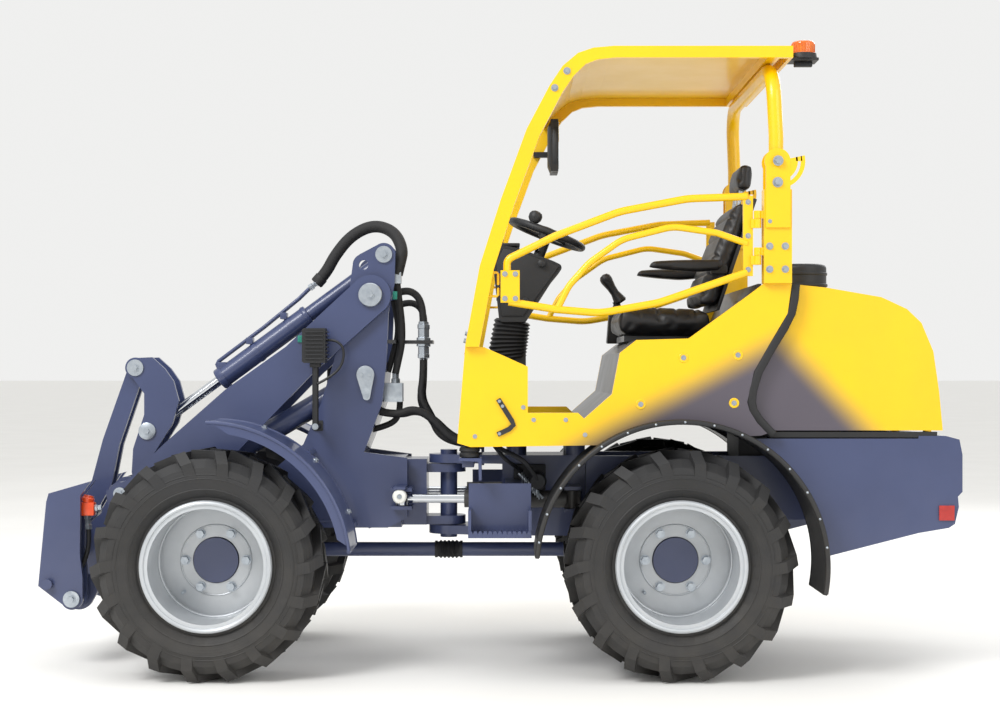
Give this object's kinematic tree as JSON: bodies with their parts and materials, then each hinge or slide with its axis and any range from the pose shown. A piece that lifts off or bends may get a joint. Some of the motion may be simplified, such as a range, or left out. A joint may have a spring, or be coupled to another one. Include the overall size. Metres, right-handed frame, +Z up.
{
  "type": "compact articulated wheel loader",
  "caption": "Compact articulated wheel loader with an open folding canopy, tubular half doors, lugged tyres, a bell-crank lift boom and a quick hitch for attachments.",
  "frame": {"origin": "on the ground, under the middle of the machine's bounding box", "axes": "-X is forward, -Y is the machine's left side, +Z is up"},
  "size_m": [3.09, 1.12, 2.105],
  "materials": {
    "blue_paint": "satin enamel",
    "yellow_paint": "gloss enamel",
    "dark_paint": "satin black enamel",
    "rim_silver": "silver enamel",
    "tyre_rubber": "moulded",
    "black_plastic": "grained moulding",
    "seat_vinyl": "embossed vinyl",
    "zinc_steel": "zinc plated",
    "rod_chrome": "hard chrome",
    "engine_iron": "painted casting",
    "amber_lens": "moulded lens",
    "lamp_lens": "moulded lens"
  },
  "bodies": {
    "rear_frame": {"rear_chassis": "blue_paint", "engine": "engine_iron", "counterweight": "blue_paint", "rear_skirts": "blue_paint", "rear_mudguards": "black_plastic", "tail_lamps": "lamp_lens", "steps": "blue_paint", "cab_floor": "dark_paint", "seat_base": "dark_paint", "cab_side_left": "yellow_paint", "cab_side_right": "yellow_paint", "rear_posts": "yellow_paint", "seat_cushion": "seat_vinyl", "seat_back": "seat_vinyl", "armrests": "seat_vinyl", "console": "black_plastic", "steering_wheel": "black_plastic", "joystick": "black_plastic", "rear_axle": "blue_paint"},
    "canopy": {"front_posts": "yellow_paint", "roof": "yellow_paint", "rear_hoop": "yellow_paint", "beacon_base": "black_plastic", "beacon_lens": "amber_lens", "mirror": "black_plastic"},
    "hood": {"hood": "yellow_paint", "intake_cap": "black_plastic"},
    "door_left": {"door_left": "yellow_paint"},
    "door_right": {"door_right": "yellow_paint"},
    "front_frame": {"front_chassis": "blue_paint", "front_axle": "blue_paint", "front_fenders": "blue_paint", "work_lamps": "black_plastic", "hose_bracket": "dark_paint"},
    "boom": {"boom": "blue_paint"},
    "hitch_pins": {"hitch_pins": "zinc_steel"},
    "hitch": {"quick_hitch": "blue_paint"},
    "crank_pins": {"crank_pins": "zinc_steel"},
    "bell_crank": {"bell_crank": "blue_paint"},
    "link_pin": {"link_pin": "zinc_steel"},
    "tilt_link": {"tilt_link": "blue_paint"},
    "lift_barrels": {"lift_barrels": "blue_paint"},
    "lift_rods": {"lift_rods": "rod_chrome"},
    "tilt_base_pin": {"tilt_base_pin": "zinc_steel"},
    "tilt_barrel": {"tilt_barrel": "blue_paint"},
    "tilt_rod": {"tilt_rod": "rod_chrome"},
    "steer_barrel_left": {"steer_barrel_left": "dark_paint"},
    "steer_barrel_right": {"steer_barrel_right": "dark_paint"},
    "steer_rod_left": {"steer_rod_left": "rod_chrome"},
    "steer_rod_right": {"steer_rod_right": "rod_chrome"},
    "wheel_front_left": {"tyre_front_left": "tyre_rubber", "rim_front_left": "rim_silver"},
    "wheel_front_right": {"tyre_front_right": "tyre_rubber", "rim_front_right": "rim_silver"},
    "wheel_rear_left": {"tyre_rear_left": "tyre_rubber", "rim_rear_left": "rim_silver"},
    "wheel_rear_right": {"tyre_rear_right": "tyre_rubber", "rim_rear_right": "rim_silver"}
  },
  "joints": [
    {"name": "steer", "type": "hinge", "parent": "rear_frame", "child": "front_frame", "pos_m": [-0.16, 0, 0.575], "axis": [0, 0, 1], "range_deg": [-40, 40]},
    {"name": "boom_lift", "type": "hinge", "parent": "front_frame", "child": "boom", "pos_m": [-0.425, 0, 1.276], "axis": [0, 1, 0], "range_deg": [0, 95]},
    {"name": "hitch_level", "type": "hinge", "parent": "boom", "child": "hitch_pins", "pos_m": [-1.431, 0, 0.24], "axis": [0, -1, 0], "range_deg": [0, 82]},
    {"name": "hitch_tilt", "type": "hinge", "parent": "hitch_pins", "child": "hitch", "pos_m": [-1.431, 0, 0.24], "axis": [0, -1, 0], "range_deg": [-40, 45]},
    {"name": "crank_level", "type": "hinge", "parent": "boom", "child": "crank_pins", "pos_m": [-1.29, 0, 0.59], "axis": [0, -1, 0], "range_deg": [0, 64]},
    {"name": "crank_tilt", "type": "hinge", "parent": "crank_pins", "child": "bell_crank", "pos_m": [-1.29, 0, 0.59], "axis": [0, -1, 0], "range_deg": [-31.5, 35.5]},
    {"name": "link_level", "type": "hinge", "parent": "bell_crank", "child": "link_pin", "pos_m": [-1.262, 0, 1.025], "axis": [0, 1, 0], "range_deg": [0, 50]},
    {"name": "link_tilt", "type": "hinge", "parent": "link_pin", "child": "tilt_link", "pos_m": [-1.262, 0, 1.025], "axis": [0, 1, 0], "range_deg": [-24.5, 27.5]},
    {"name": "lift_swing", "type": "hinge", "parent": "front_frame", "child": "lift_barrels", "pos_m": [-0.444, 0, 1.001], "axis": [0, 1, 0], "range_deg": [0, 90]},
    {"name": "lift_extend", "type": "slide", "parent": "lift_barrels", "child": "lift_rods", "axis": [-0.8657, 0, -0.5005], "range_m": [0, 0.4]},
    {"name": "tilt_swing_lift", "type": "hinge", "parent": "front_frame", "child": "tilt_base_pin", "pos_m": [-0.381, 0, 1.418], "axis": [0, 1, 0], "range_deg": [0, 99]},
    {"name": "tilt_swing", "type": "hinge", "parent": "tilt_base_pin", "child": "tilt_barrel", "pos_m": [-0.381, 0, 1.418], "axis": [0, 1, 0], "range_deg": [-4.2, 4.7]},
    {"name": "tilt_extend", "type": "slide", "parent": "tilt_barrel", "child": "tilt_rod", "axis": [-0.8061, 0, -0.5918], "range_m": [-0.0802, 0.0902]},
    {"name": "steer_swing_left", "type": "hinge", "parent": "rear_frame", "child": "steer_barrel_left", "pos_m": [0.27, -0.215, 0.575], "axis": [0, 0, 1], "range_deg": [-9.3, 9.3]},
    {"name": "steer_extend_left", "type": "slide", "parent": "steer_barrel_left", "child": "steer_rod_left", "axis": [-0.9991, 0.0426, 0], "range_m": [-0.1327, 0.1327]},
    {"name": "steer_swing_right", "type": "hinge", "parent": "rear_frame", "child": "steer_barrel_right", "pos_m": [0.27, 0.215, 0.575], "axis": [0, 0, 1], "range_deg": [-9.3, 9.3]},
    {"name": "steer_extend_right", "type": "slide", "parent": "steer_barrel_right", "child": "steer_rod_right", "axis": [-0.9991, -0.0426, 0], "range_m": [-0.1327, 0.1327]},
    {"name": "door_left_open", "type": "hinge", "parent": "rear_frame", "child": "door_left", "pos_m": [0.862, -0.492, 1.44], "axis": [0, 0, 1], "range_deg": [0, 95]},
    {"name": "door_right_open", "type": "hinge", "parent": "rear_frame", "child": "door_right", "pos_m": [0.862, 0.492, 1.44], "axis": [0, 0, -1], "range_deg": [0, 95]},
    {"name": "canopy_fold", "type": "hinge", "parent": "rear_frame", "child": "canopy", "pos_m": [0.924, 0, 1.696], "axis": [0, 1, 0], "range_deg": [0, 67]},
    {"name": "hood_open", "type": "hinge", "parent": "rear_frame", "child": "hood", "pos_m": [1.484, 0, 0.808], "axis": [0, 1, 0], "range_deg": [0, 70]},
    {"name": "wheel_front_left_roll", "type": "hinge", "parent": "front_frame", "child": "wheel_front_left", "pos_m": [-0.93, -0.428, 0.38], "axis": [0, 1, 0], "continuous": true},
    {"name": "wheel_front_right_roll", "type": "hinge", "parent": "front_frame", "child": "wheel_front_right", "pos_m": [-0.93, 0.428, 0.38], "axis": [0, 1, 0], "continuous": true},
    {"name": "wheel_rear_left_roll", "type": "hinge", "parent": "rear_frame", "child": "wheel_rear_left", "pos_m": [0.61, -0.428, 0.38], "axis": [0, 1, 0], "continuous": true},
    {"name": "wheel_rear_right_roll", "type": "hinge", "parent": "rear_frame", "child": "wheel_rear_right", "pos_m": [0.61, 0.428, 0.38], "axis": [0, 1, 0], "continuous": true}
  ],
  "couplings": [
    {"joint": "hitch_level", "follows": "boom_lift", "ratio": 0.863},
    {"joint": "crank_level", "follows": "boom_lift", "ratio": 0.6693},
    {"joint": "link_level", "follows": "boom_lift", "ratio": 0.518},
    {"joint": "crank_tilt", "follows": "hitch_tilt", "ratio": 0.78},
    {"joint": "link_tilt", "follows": "hitch_tilt", "ratio": 0.6},
    {"joint": "lift_swing", "follows": "boom_lift", "ratio": 0.946},
    {"joint": "lift_extend", "follows": "boom_lift", "m_per_rad": 0.2409},
    {"joint": "tilt_swing_lift", "follows": "boom_lift", "ratio": 1.0395},
    {"joint": "tilt_swing", "follows": "hitch_tilt", "ratio": 0.1},
    {"joint": "tilt_extend", "follows": "hitch_tilt", "m_per_rad": 0.1146},
    {"joint": "steer_swing_left", "follows": "steer", "ratio": 0.23},
    {"joint": "steer_extend_left", "follows": "steer", "m_per_rad": -0.1898},
    {"joint": "steer_swing_right", "follows": "steer", "ratio": 0.23},
    {"joint": "steer_extend_right", "follows": "steer", "m_per_rad": 0.1898}
  ]
}
